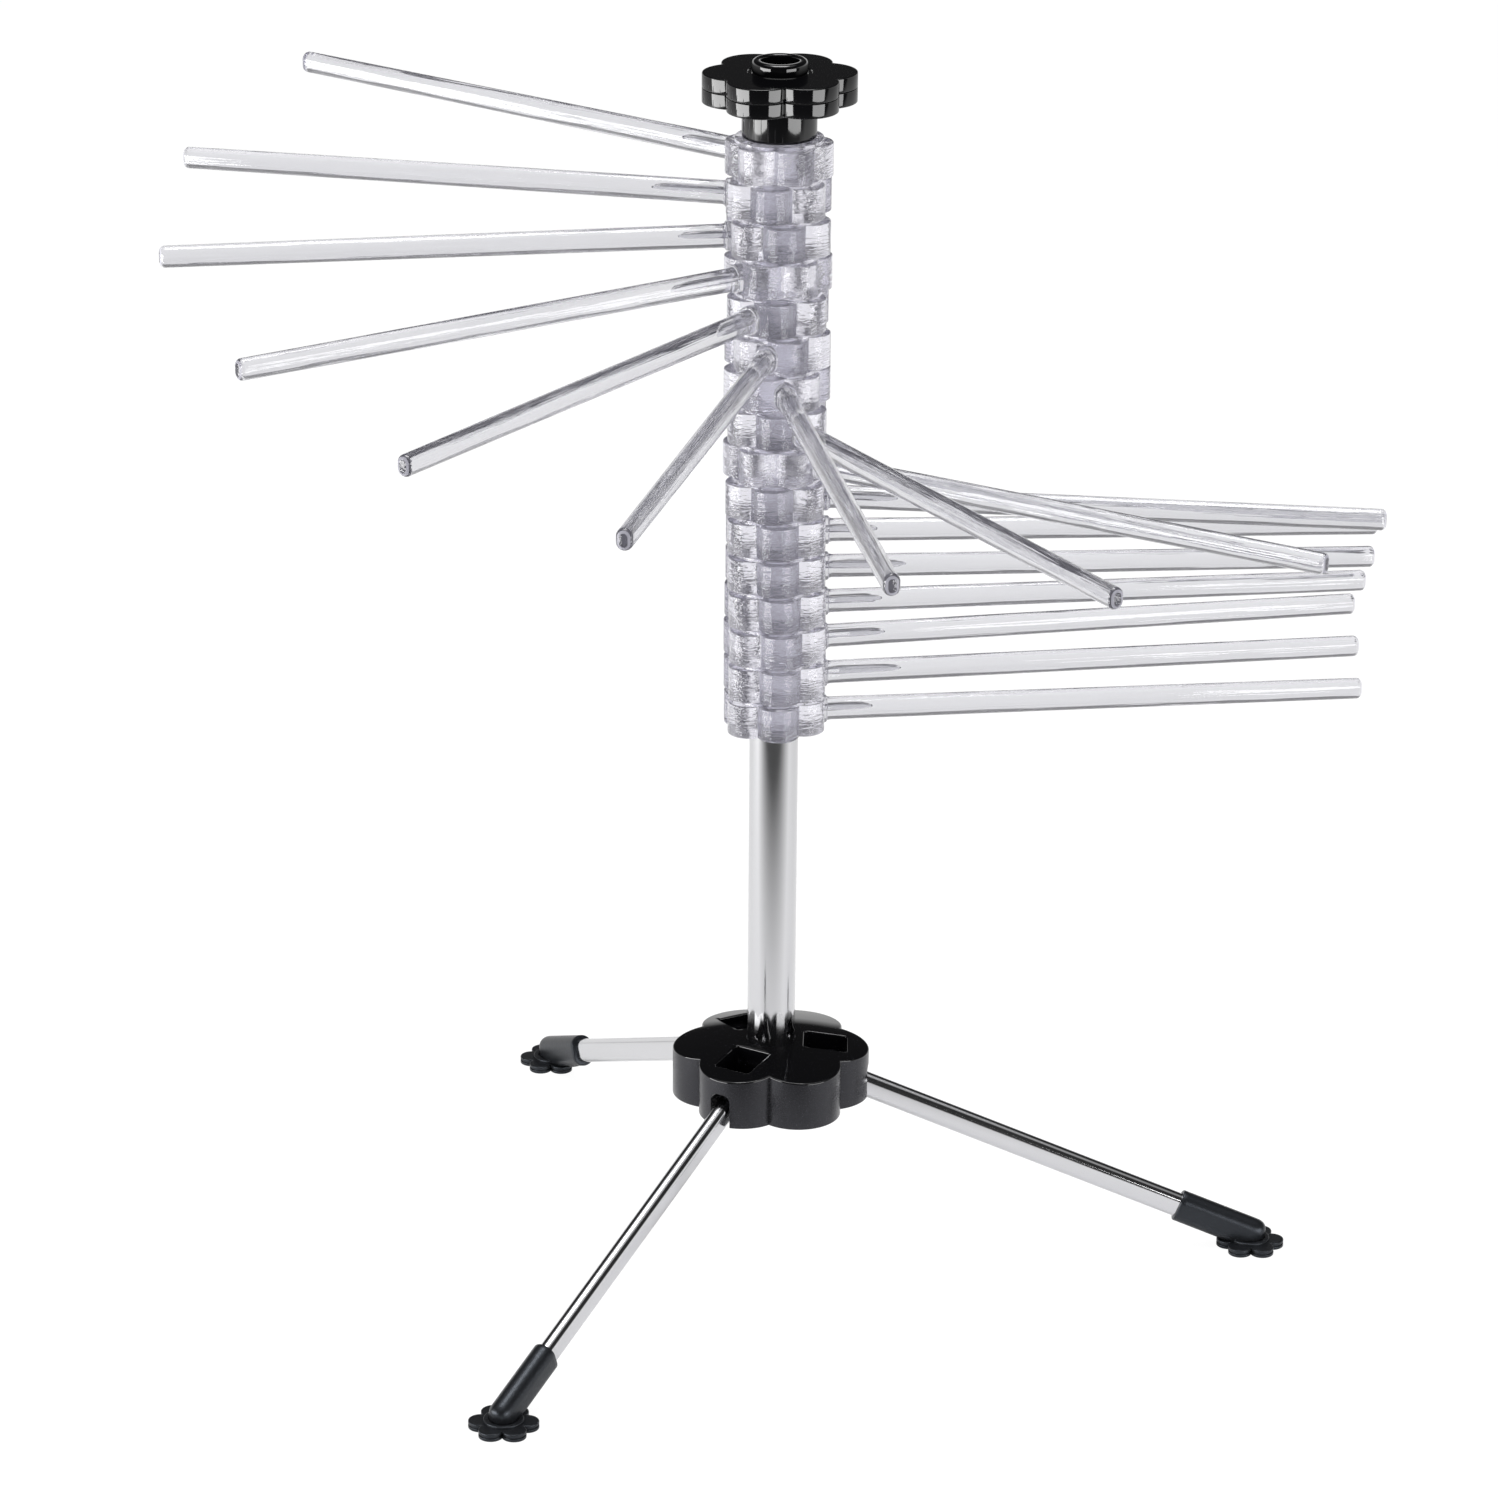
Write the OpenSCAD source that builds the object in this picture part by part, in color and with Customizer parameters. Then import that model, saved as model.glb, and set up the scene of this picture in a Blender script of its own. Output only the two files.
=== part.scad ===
// Free-standing drying rack for fresh pasta. Sixteen clear arms turn on a steel column
// that stands on a lobed base with three folding legs. Z is up, the floor is Z = 0 and
// the column's centre line is the Z axis.

/* [Column] */
// Outside diameter of the column tube
column_d = 18.5; // [17:0.5:20]
// Wall thickness of the column tube
column_wall = 1; // [0.8:0.1:1.4]
// Bare length of column between the base's crown and the lowest hub
column_free_h = 128.8; // [100:1:180]
// Depth of the base's socket below the crown
socket_depth = 15; // [12:0.5:17]
// Length of the threaded plugs in the two ends of the column tube
plug_len = 20; // [14:1:30]
// Diameter of the screws that hold the knob and the base on the column
column_screw_d = 6; // [5:0.5:7]

/* [Arms] */
// Length of an arm's rod, from the hub's rim to its tip
rod_len = 207; // [150:1:240]
// Height of the rod's oval section
rod_h = 8.4; // [7.5:0.1:9.5]
// Width of the rod's oval section
rod_w = 6.4; // [5:0.1:7]
// Radius of the dome that rounds the rod's tip
rod_tip_r = 5.5; // [5:0.1:8]
// Height of the rod's centre line above the hub's underside
rod_rise = 6.1; // [5.9:0.1:6.6]
// Height of the boss where the rod leaves the hub
root_h = 11; // [10:0.1:11.6]
// Width of the boss where the rod leaves the hub
root_w = 8.8; // [7.5:0.1:10]
// Radius of the circle that carries the centres of a hub's six lobes
hub_lobe_circle_r = 12; // [11:0.1:13]
// Radius of one lobe of a hub
hub_lobe_r = 8; // [7.4:0.1:9]
// Height of a hub's lobed part
hub_lobe_h = 12.8; // [12.4:0.1:16]
// Diameter of the round collar on top of a hub
hub_collar_d = 33; // [28:0.5:34]
// Height of the round collar on top of a hub
hub_collar_h = 1.3; // [0.8:0.1:2.5]
// Bevel on the edges of a hub's lobes
hub_edge = 0.5; // [0.2:0.1:0.8]
// Depth of the recess under each hub, which takes the stop ring
hub_recess_h = 2.4; // [2.2:0.1:4]

/* [Stop ring] */
// Thickness of the spring ring that carries the stack of hubs
ring_t = 1.2; // [0.8:0.1:1.4]
// How far the spring ring stands out of the column
ring_reach = 1.5; // [1:0.1:2]
// Depth of the ring's groove in the column
ring_groove = 0.4; // [0.3:0.05:0.5]
// Width of the spring ring's open gap
ring_gap = 6; // [4:0.5:8]

/* [Knob] */
// Radius of the circle that carries the centres of the knob's six lobes
knob_lobe_circle_r = 16; // [15:0.1:18]
// Radius of one lobe of the knob
knob_lobe_r = 12.5; // [11:0.1:14]
// Height of the lower half of the knob's rim
knob_low_h = 5.6; // [5:0.1:8]
// Height of the upper half of the knob's rim
knob_high_h = 5.5; // [5:0.1:8]
// Bevel on the edges of both halves of the knob
knob_edge = 0.35; // [0.2:0.05:0.6]
// Diameter of the knob's neck
neck_d = 27.7; // [25:0.1:31]
// Height of the knob's neck
neck_h = 12.9; // [8:0.1:20]
// Diameter of the round boss on top of the knob
boss_d = 20.4; // [19.6:0.1:22]
// Height of the round boss on top of the knob
boss_h = 4.6; // [3:0.1:8]
// Diameter of the hole in the boss
boss_hole_d = 14; // [12.5:0.1:15]
// Width of the shallow groove round the boss
boss_groove_w = 1.8; // [1:0.1:2.5]
// Depth of the shallow groove round the boss
boss_groove_h = 0.5; // [0.3:0.1:1]
// Diameter of the spigot that joins the knob's halves
spigot_d = 18; // [17:0.1:19]
// Height of the spigot that joins the knob's halves
spigot_h = 2.6; // [2:0.1:4]
// Depth of the column's end inside the knob, above the neck
knob_socket_h = 2.6; // [1.5:0.1:3.5]
// Diameter of the head of the knob's screw
knob_screw_head_d = 10.4; // [9:0.1:11]
// Height of the head of the knob's screw
knob_screw_head_h = 2.5; // [2:0.1:3]

/* [Base] */
// Height of the base's underside above the floor
base_clear_h = 62.4; // [50:0.5:75]
// Height of the base's wall at the tips of its lobes
base_rim_h = 19.4; // [18:0.1:24]
// Rise of the domed top from the lobes' tips to the middle
base_crown_h = 4.4; // [3:0.1:7]
// Radius of the circle that carries the centres of the base's six lobes
base_lobe_circle_r = 21.5; // [21:0.1:23]
// Radius of one lobe of the base
base_lobe_r = 16.5; // [15.5:0.1:18]
// Wall between the column's socket and a leg's pocket
socket_wall = 3.5; // [2.5:0.1:4]
// Width of the pocket in which a leg's knuckle sits
pocket_w = 15; // [14:0.1:16]
// Width of the slot through which a leg leaves the base
slot_w = 8.4; // [7.6:0.1:10]
// Height of a leg slot above the base's underside
slot_h = 13.4; // [12.5:0.1:14.5]
// Radius of the slot's upper corners
slot_corner_r = 3; // [2:0.1:3.6]
// Thickness of the cover plate under the base
plate_t = 2; // [1.5:0.1:2.5]
// Wall round the cover plate
plate_inset = 2; // [1.5:0.1:3]
// Height of the hollows in the three plain lobes, above the cover plate
hollow_h = 12; // [8:0.5:13]
// Diameter of the posts for the cover's screws
post_d = 7.5; // [6.5:0.1:8.5]
// Diameter of the cover's screws
cover_screw_d = 3; // [2.5:0.1:3.4]
// Length of the cover's screws
cover_screw_len = 10; // [8:0.5:12]
// Diameter of the head of the screw that holds the column
column_screw_head_d = 11; // [9.5:0.1:12]
// Height of the head of the screw that holds the column
column_screw_head_h = 3.2; // [2.5:0.1:3.5]

/* [Legs] */
// Radius of the circle on which the three feet stand
foot_circle_r = 188.3; // [150:1:220]
// Direction of the first leg, counted from +X
leg_az = 239.1; // [200:0.1:280]
// Height of the leg tube's oval section
leg_h = 9.8; // [8.5:0.1:10.5]
// Width of the leg tube's oval section
leg_w = 6.2; // [5:0.1:6.8]
// Wall thickness of the leg tube
leg_wall = 0.8; // [0.5:0.1:1.2]
// Height of a leg's pivot above the base's underside
pivot_h = 9.8; // [9.6:0.1:10.2]
// Distance from the pocket's inner wall to a leg's pivot
pivot_in = 10.2; // [10:0.1:11]
// Diameter of a leg's pivot pin
pin_d = 4; // [3:0.1:5]
// Length of a leg's pivot pin
pin_len = 22; // [20:0.5:24]
// Diameter of the knuckle round the pivot pin
knuckle_d = 11.2; // [10:0.1:11.6]
// Length of the knuckle's spigot inside the leg tube
leg_spigot_len = 20; // [12:1:30]

/* [Feet] */
// Height of the point where a leg's centre line meets its foot
foot_joint_h = 5.2; // [4.5:0.1:7]
// Length of the sleeve on a leg's end
sleeve_len = 31; // [24:0.5:40]
// Wall of the sleeve round the leg tube
sleeve_wall = 1.5; // [1:0.1:2.2]
// Radius of the ball that rounds the sleeve's end
sleeve_end_r = 9; // [8.5:0.1:12]
// Length left solid at the sleeve's end
sleeve_solid = 6; // [4:0.5:9]
// Radius of the circle that carries the centres of a foot's six petals
foot_lobe_circle_r = 8.5; // [7.5:0.1:9]
// Radius of one petal of a foot
foot_lobe_r = 4.6; // [4.4:0.1:6]
// Thickness of a foot's disc
foot_disc_h = 3; // [2.4:0.1:5]
// Depth of the groove round a foot's disc
foot_groove = 0.4; // [0.2:0.1:0.8]
// Width of the groove round a foot's disc
foot_groove_h = 0.5; // [0.3:0.1:1]
// Diameter of the raised ring on a foot's disc
foot_ring_d = 15; // [13:0.1:16]
// Height of the raised ring on a foot's disc
foot_ring_h = 0.9; // [0.5:0.1:1.5]

/* [Fits] */
// Radial clearance of what turns on a shaft
running_gap = 0.1; // [0.04:0.01:0.1]
// Clearance between faces that move past each other
face_gap = 0.3; // [0.25:0.05:0.5]
// Clearance of what is fixed in a seat
seat_gap = 0.05; // [0.02:0.01:0.1]

/* [Hidden] */
$fn = 96;

// Small overlap that lets cuts run past a face
cut = 1;
// Lobes round the knob, the hubs, the base and the feet
lobe_count = 6;
lobe_step = 360 / lobe_count;
leg_count = 3;
leg_step = 360 / leg_count;
// Directions of the sixteen arms at rest, top arm first, counted from +X
arm_az = [144, 168.5, 189.5, 214, 236, 257, 280, 301, 329.5, 354, 3.5, 4.5, 8, 11.5, 9.5, 7.5];
arm_count = len(arm_az);
// Direction of one lobe of the knob at rest
knob_az = 4.5;

column_r = column_d / 2;
column_in_r = column_r - column_wall;
bore_r = column_r + running_gap;
screw_r = column_screw_d / 2;

// Heights, from the floor up
base_top_z = base_clear_h + base_rim_h + base_crown_h;
socket_z = base_top_z - socket_depth;
stack_z = base_top_z + column_free_h;
hub_h = hub_lobe_h + hub_collar_h;
hub_pitch = hub_h + face_gap;
function hub_z(i) = stack_z + (arm_count - 1 - i) * hub_pitch;
neck_z = hub_z(0) + hub_h + face_gap;
rim_z = neck_z + neck_h;
parting_z = rim_z + knob_low_h;
cap_z = parting_z + knob_high_h;
spigot_z = parting_z + spigot_h;
column_top_z = rim_z + knob_socket_h;
ring_z = stack_z + hub_recess_h - face_gap - ring_t;
ring_r = column_r + ring_reach;
recess_r = ring_r + face_gap;
// Radius inside a hub from which its rod, boss and collar grow
hub_core_r = recess_r + 2;

// The domed top of the base is part of a sphere
base_reach = base_lobe_circle_r + base_lobe_r;
dome_r = (base_reach * base_reach + base_crown_h * base_crown_h) / (2 * base_crown_h);
plate_z = base_clear_h + plate_t;
pocket_in_r = column_r + socket_wall;
pivot_r = pocket_in_r + pivot_in;
pivot_z = base_clear_h + pivot_h;
knuckle_r = knuckle_d / 2;
knuckle_w = pocket_w - 4 * face_gap;
pocket_out_r = pivot_r + knuckle_r + 3 * face_gap;
pin_r = pin_d / 2;

// A leg's slope follows from the pivot and from where it meets its foot
leg_run = foot_circle_r - pivot_r;
leg_drop = pivot_z - foot_joint_h;
leg_len = sqrt(leg_run * leg_run + leg_drop * leg_drop);
leg_slope = atan2(leg_drop, leg_run);
leg_start = knuckle_r + 3 * face_gap;
leg_end = leg_len - sleeve_solid;
// The heel under the knuckle rests on the cover plate and clears the pocket as it swings
heel_drop = pivot_z - plate_z - face_gap;
heel_swing = pivot_in - 2 * face_gap;
heel_back = sqrt(heel_swing * heel_swing - heel_drop * heel_drop);
sleeve_h = leg_h + 2 * sleeve_wall;
sleeve_w = leg_w + 2 * sleeve_wall;

// Radius of the hollows in the plain lobes, which leaves the socket's wall whole
hollow_r = base_lobe_circle_r - pocket_in_r - face_gap;
// Thickness of the base's floor under the column
floor_t = 4.6;
// Hexagon socket of the two large screws
hex_d = 4.6;
hex_depth = 1.6;
// Share of a plug's length that its screw fills
screw_share = 0.8;

clear_color = [0.86, 0.86, 0.91, 0.45];
gloss_black = "#0b0b0c";
satin_black = "#38383a";
foot_grey = "#2c2d31";
steel_color = "#c9cacb";

// Flat outline of six lobes on a circle round a core
module lobed_outline(rc, rl) {
  for (k = [0 : lobe_count - 1])
    rotate(k * lobe_step)
      translate([rc, 0])
        circle(r = rl);
  circle(r = rc);
}

// One cone on each of those lobes
module lobe_cones(rc, r1, r2, h) {
  for (k = [0 : lobe_count - 1])
    rotate([0, 0, k * lobe_step])
      translate([rc, 0, 0])
        cylinder(r1 = r1, r2 = r2, h = h);
}

// Prism on that outline, with a bevel e on the edges of each lobe
module lobed_disc(rc, rl, h, e) {
  translate([0, 0, e])
    linear_extrude(height = h - 2 * e)
      lobed_outline(rc, rl);
  lobe_cones(rc, rl - e, rl, e);
  translate([0, 0, h - e])
    lobe_cones(rc, rl, rl - e, e);
  cylinder(r = rc, h = h);
}

// Oval section, h high and w wide, with flat sides and round top and bottom
module oval(h, w) {
  square([w, h - w], center = true);
  for (s = [-1, 1])
    translate([0, s * (h - w) / 2])
      circle(d = w);
}

// Bar of oval section from x0 to x1 along +X
module oval_bar(h, w, x0, x1) {
  translate([x0, 0, 0])
    rotate([90, 0, 90])
      linear_extrude(height = x1 - x0)
        oval(h, w);
}

// Arms

module rod() {
  tip_x = hub_lobe_circle_r + hub_lobe_r + rod_len;
  centre_x = tip_x - rod_tip_r;
  difference() {
    oval_bar(rod_h, rod_w, hub_core_r, tip_x);
    difference() {
      translate([centre_x, -rod_h, -rod_h])
        cube([rod_tip_r + cut, 2 * rod_h, 2 * rod_h]);
      translate([centre_x, 0, 0])
        sphere(r = rod_tip_r);
    }
  }
}

// One moulding: a lobed hub with a round collar, and a rod that leaves from a valley
module arm(i) {
  color(clear_color)
  translate([0, 0, hub_z(i)])
    rotate([0, 0, arm_az[i]])
      difference() {
        union() {
          rotate([0, 0, lobe_step / 2])
            lobed_disc(hub_lobe_circle_r, hub_lobe_r, hub_lobe_h, hub_edge);
          translate([0, 0, hub_lobe_h])
            cylinder(d = hub_collar_d, h = hub_collar_h);
          translate([0, 0, hub_lobe_h - 2 * hub_edge])
            cylinder(r = hub_core_r, h = 2 * hub_edge + hub_collar_h / 2);
          translate([0, 0, rod_rise]) {
            oval_bar(root_h, root_w, hub_core_r, hub_lobe_circle_r + hub_lobe_r);
            rod();
          }
        }
        translate([0, 0, -cut])
          cylinder(r = bore_r, h = hub_h + 2 * cut);
        translate([0, 0, -cut])
          cylinder(r = recess_r, h = hub_recess_h + cut);
      }
}

// Column

module column_tube() {
  color(steel_color)
  difference() {
    translate([0, 0, socket_z])
      cylinder(r = column_r, h = column_top_z - socket_z);
    translate([0, 0, socket_z - cut])
      cylinder(r = column_in_r, h = column_top_z - socket_z + 2 * cut);
    translate([0, 0, ring_z])
      difference() {
        cylinder(r = column_r + cut, h = ring_t);
        cylinder(r = column_r - ring_groove, h = ring_t);
      }
  }
}

// Threaded plug in an end of the tube, with its thread left as a plain bore
module tube_plug(z) {
  color(steel_color)
  translate([0, 0, z])
    difference() {
      cylinder(r = column_in_r - seat_gap, h = plug_len);
      translate([0, 0, -cut])
        cylinder(r = screw_r + seat_gap, h = plug_len + 2 * cut);
    }
}

module column_foot_plug() {
  tube_plug(socket_z);
}

module column_top_plug() {
  tube_plug(column_top_z - plug_len);
}

// Spring ring in the column's groove, inside the recess of the lowest hub
module stop_ring() {
  color(steel_color)
  translate([0, 0, ring_z + ring_t * 0.05])
    difference() {
      cylinder(r = ring_r, h = ring_t * 0.9);
      translate([0, 0, -cut])
        cylinder(r = column_r - ring_groove + seat_gap, h = ring_t + 2 * cut);
      translate([0, -ring_gap / 2, -cut])
        cube([ring_r + cut, ring_gap, ring_t + 2 * cut]);
    }
}

// Screw from below through the base's floor into the foot plug
module column_screw() {
  head_top = socket_z - floor_t;
  color(steel_color)
  difference() {
    union() {
      translate([0, 0, head_top - column_screw_head_h])
        cylinder(d = column_screw_head_d, h = column_screw_head_h);
      translate([0, 0, head_top])
        cylinder(r = screw_r, h = floor_t + plug_len * screw_share);
    }
    translate([0, 0, head_top - column_screw_head_h - cut])
      cylinder(d = hex_d, h = hex_depth + cut, $fn = 6);
  }
}

// Screw on which the knob turns, held by the top plug
module knob_screw() {
  head_z = spigot_z + face_gap;
  shank_z = column_top_z - plug_len * screw_share;
  color(steel_color)
  difference() {
    union() {
      translate([0, 0, head_z])
        cylinder(d = knob_screw_head_d, h = knob_screw_head_h);
      translate([0, 0, shank_z])
        cylinder(r = screw_r, h = head_z - shank_z);
    }
    translate([0, 0, head_z + knob_screw_head_h - hex_depth])
      cylinder(d = hex_d, h = hex_depth + cut, $fn = 6);
  }
}

// Knob

module knob_body() {
  color(gloss_black)
  difference() {
    union() {
      translate([0, 0, neck_z])
        cylinder(d = neck_d, h = neck_h + knob_low_h / 2);
      translate([0, 0, rim_z])
        rotate([0, 0, knob_az])
          lobed_disc(knob_lobe_circle_r, knob_lobe_r, knob_low_h, knob_edge);
      translate([0, 0, rim_z + knob_low_h / 2])
        cylinder(d = spigot_d, h = knob_low_h / 2 + spigot_h);
    }
    translate([0, 0, neck_z - cut])
      cylinder(r = bore_r, h = column_top_z + face_gap - neck_z + cut);
    translate([0, 0, neck_z])
      cylinder(r = screw_r + running_gap, h = spigot_z - neck_z + cut);
  }
}

module knob_cap() {
  color(gloss_black)
  translate([0, 0, parting_z])
    difference() {
      union() {
        rotate([0, 0, knob_az])
          lobed_disc(knob_lobe_circle_r, knob_lobe_r, knob_high_h, knob_edge);
        cylinder(d = boss_d, h = knob_high_h + boss_h);
      }
      translate([0, 0, -cut])
        cylinder(d = spigot_d + 2 * seat_gap, h = spigot_h + cut);
      translate([0, 0, -cut])
        cylinder(d = boss_hole_d, h = knob_high_h + boss_h + 2 * cut);
      translate([0, 0, knob_high_h - boss_groove_h])
        difference() {
          cylinder(d = boss_d + 2 * boss_groove_w, h = boss_groove_h + cut);
          cylinder(d = boss_d, h = boss_groove_h + cut);
        }
    }
}

// Base

// Places its children in the direction of each leg
module at_legs() {
  for (k = [0 : leg_count - 1])
    rotate([0, 0, leg_az + k * leg_step])
      children();
}

// Places its children at the centre of each lobe that has no leg
module at_plain_lobes() {
  for (k = [0 : leg_count - 1])
    rotate([0, 0, leg_az + (k + 0.5) * leg_step])
      translate([base_lobe_circle_r, 0, 0])
        children();
}

// Pocket for the knuckle, slot for the leg and cradle for the pivot pin, along +X
module leg_cut() {
  translate([pocket_in_r, -pocket_w / 2, plate_z])
    cube([pocket_out_r - pocket_in_r, pocket_w, base_top_z - plate_z]);
  slot_top = base_clear_h + slot_h;
  slot_x0 = pocket_out_r - cut;
  slot_len = base_reach + cut - slot_x0;
  translate([slot_x0, -slot_w / 2, base_clear_h - cut])
    cube([slot_len, slot_w, slot_h + cut - slot_corner_r]);
  translate([slot_x0, -slot_w / 2 + slot_corner_r, base_clear_h])
    cube([slot_len, slot_w - 2 * slot_corner_r, slot_h]);
  for (s = [-1, 1])
    translate([slot_x0, s * (slot_w / 2 - slot_corner_r), slot_top - slot_corner_r])
      rotate([0, 90, 0])
        cylinder(r = slot_corner_r, h = slot_len);
  cradle_r = pin_r + seat_gap;
  translate([pivot_r - cradle_r, -pin_len / 2 - seat_gap, plate_z])
    cube([2 * cradle_r, pin_len + 2 * seat_gap, pivot_z - plate_z]);
  translate([pivot_r, 0, pivot_z])
    rotate([90, 0, 0])
      cylinder(r = cradle_r, h = pin_len + 2 * seat_gap, center = true);
}

module base_body() {
  color(satin_black)
  difference() {
    intersection() {
      translate([0, 0, base_clear_h])
        rotate([0, 0, leg_az])
          linear_extrude(height = base_rim_h + base_crown_h)
            lobed_outline(base_lobe_circle_r, base_lobe_r);
      translate([0, 0, base_top_z - dome_r])
        sphere(r = dome_r, $fn = 192);
    }
    translate([0, 0, base_clear_h - cut])
      cover_outline(plate_t + cut, seat_gap);
    translate([0, 0, socket_z])
      cylinder(r = column_r + seat_gap, h = socket_depth + cut);
    translate([0, 0, base_clear_h])
      cylinder(r = screw_r + seat_gap, h = socket_z - base_clear_h + cut);
    translate([0, 0, base_clear_h])
      cylinder(d = column_screw_head_d + 4 * seat_gap, h = socket_z - floor_t - base_clear_h);
    at_legs() leg_cut();
    at_plain_lobes() {
      difference() {
        translate([0, 0, plate_z - cut])
          cylinder(r = hollow_r, h = hollow_h + cut);
        translate([0, 0, plate_z])
          cylinder(d = post_d, h = hollow_h + cut);
      }
      translate([0, 0, plate_z - cut])
        cylinder(d = cover_screw_d, h = cover_screw_len + cut);
    }
  }
}

// Outline of the cover plate, grown by gap
module cover_outline(h, gap) {
  rotate([0, 0, leg_az])
    linear_extrude(height = h)
      lobed_outline(base_lobe_circle_r, base_lobe_r - plate_inset + gap);
}

// Cover plate with a slot for each leg and a pair of posts under each pivot pin
module base_cover() {
  post_w = 2 * pin_r - 2 * seat_gap;
  post_len = (pin_len - pocket_w) / 2;
  color(satin_black)
  difference() {
    union() {
      translate([0, 0, base_clear_h])
        cover_outline(plate_t, 0);
      at_legs()
        for (s = [-1, 1])
          translate([pivot_r, s * (pocket_w / 2 + post_len / 2), plate_z - cut])
            translate([-post_w / 2, -post_len / 2, 0])
              cube([post_w, post_len, pivot_z - plate_z - pin_r * 0.5 + cut]);
    }
    at_legs() {
      translate([pivot_r - leg_h / 2 - 3 * face_gap, -slot_w / 2, base_clear_h - cut])
        cube([base_reach, slot_w, plate_t + 2 * cut]);
      translate([pivot_r, 0, pivot_z])
        rotate([90, 0, 0])
          cylinder(r = pin_r + seat_gap, h = pin_len + 2 * cut, center = true);
    }
    translate([0, 0, base_clear_h - cut])
      cylinder(d = column_screw_head_d + 4 * seat_gap, h = plate_t + 2 * cut);
    at_plain_lobes() {
      translate([0, 0, base_clear_h - cut])
        cylinder(r = cover_screw_d / 2 + seat_gap, h = plate_t + 2 * cut);
      translate([0, 0, base_clear_h])
        cylinder(r1 = cover_screw_d + seat_gap, r2 = cover_screw_d / 2 + seat_gap, h = cover_screw_d / 2);
    }
  }
}

// Countersunk screws that hold the cover plate on its posts
module cover_screws() {
  color(steel_color)
  at_plain_lobes()
    translate([0, 0, base_clear_h]) {
      cylinder(r1 = cover_screw_d, r2 = cover_screw_d / 2, h = cover_screw_d / 2);
      cylinder(r = cover_screw_d / 2 - seat_gap, h = cover_screw_len);
    }
}

// Legs, numbered from the one at leg_az

module at_pivot(k) {
  rotate([0, 0, leg_az + (k - 1) * leg_step])
    translate([pivot_r, 0, pivot_z])
      children();
}

module leg_pin(k) {
  color(steel_color)
  at_pivot(k)
    rotate([90, 0, 0])
      cylinder(r = pin_r, h = pin_len, center = true);
}

// Knuckle on the pin, with a heel that props the open leg and a spigot in the tube
module leg_knuckle(k) {
  color(satin_black)
  at_pivot(k)
    difference() {
      union() {
        rotate([90, 0, 0])
          cylinder(r = knuckle_r, h = knuckle_w, center = true);
        translate([-heel_back, -knuckle_w / 2, -heel_drop])
          cube([heel_back, knuckle_w, heel_drop]);
        rotate([0, leg_slope, 0])
          oval_bar(leg_h - 2 * leg_wall - 2 * seat_gap, leg_w - 2 * leg_wall - 2 * seat_gap,
                   knuckle_r / 2, leg_start + leg_spigot_len);
      }
      rotate([90, 0, 0])
        cylinder(r = pin_r + running_gap, h = knuckle_w + 2 * cut, center = true);
    }
}

module leg_tube(k) {
  color(steel_color)
  at_pivot(k)
    rotate([0, leg_slope, 0])
      difference() {
        oval_bar(leg_h, leg_w, leg_start, leg_end);
        oval_bar(leg_h - 2 * leg_wall, leg_w - 2 * leg_wall, leg_start - cut, leg_end + cut);
      }
}

// Foot: a sleeve on the leg's end and a six-petalled disc, in one moulding
module foot(k) {
  color(foot_grey)
  difference() {
    union() {
      at_pivot(k)
        rotate([0, leg_slope, 0])
          difference() {
            oval_bar(sleeve_h, sleeve_w, leg_len - sleeve_len, leg_len + sleeve_solid);
            difference() {
              translate([leg_len + sleeve_solid / 2 - sleeve_end_r, -sleeve_h, -sleeve_h])
                cube([sleeve_end_r + sleeve_solid, 2 * sleeve_h, 2 * sleeve_h]);
              translate([leg_len + sleeve_solid / 2 - sleeve_end_r, 0, 0])
                sphere(r = sleeve_end_r);
            }
          }
      rotate([0, 0, leg_az + (k - 1) * leg_step])
        translate([foot_circle_r, 0, 0])
          foot_disc();
    }
    at_pivot(k)
      rotate([0, leg_slope, 0])
        oval_bar(leg_h + 2 * seat_gap, leg_w + 2 * seat_gap, leg_len - sleeve_len - cut, leg_end);
    rotate([0, 0, leg_az + (k - 1) * leg_step])
      translate([foot_circle_r, 0, -2 * sleeve_len])
        cylinder(r = 2 * sleeve_len, h = 2 * sleeve_len);
  }
}

module petals(h, inset) {
  linear_extrude(height = h)
    lobed_outline(foot_lobe_circle_r, foot_lobe_r - inset);
}

module foot_disc() {
  side_h = (foot_disc_h - foot_groove_h) / 2;
  petals(side_h, 0);
  petals(foot_disc_h, foot_groove);
  translate([0, 0, side_h + foot_groove_h])
    petals(side_h, 0);
  cylinder(d = foot_ring_d, h = foot_disc_h + foot_ring_h);
}

base_body();
base_cover();
cover_screws();
column_tube();
column_foot_plug();
column_screw();
column_top_plug();
knob_screw();
stop_ring();
leg_pin(1);  // leg_pin_1
leg_pin(2);  // leg_pin_2
leg_pin(3);  // leg_pin_3
knob_body();
knob_cap();
leg_knuckle(1);  // leg_knuckle_1
leg_tube(1);  // leg_tube_1
foot(1);  // foot_1
leg_knuckle(2);  // leg_knuckle_2
leg_tube(2);  // leg_tube_2
foot(2);  // foot_2
leg_knuckle(3);  // leg_knuckle_3
leg_tube(3);  // leg_tube_3
foot(3);  // foot_3
arm(0);  // arm_01
arm(1);  // arm_02
arm(2);  // arm_03
arm(3);  // arm_04
arm(4);  // arm_05
arm(5);  // arm_06
arm(6);  // arm_07
arm(7);  // arm_08
arm(8);  // arm_09
arm(9);  // arm_10
arm(10);  // arm_11
arm(11);  // arm_12
arm(12);  // arm_13
arm(13);  // arm_14
arm(14);  // arm_15
arm(15);  // arm_16
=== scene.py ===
"""Free-standing drying rack for fresh pasta, dressed over its packed frame.

Sixteen clear moulded arms turn on a polished steel column between a lobed glossy knob
and a lobed base with three folding legs. Lengths are in metres in the frame's own axes.
"""

import math

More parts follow.
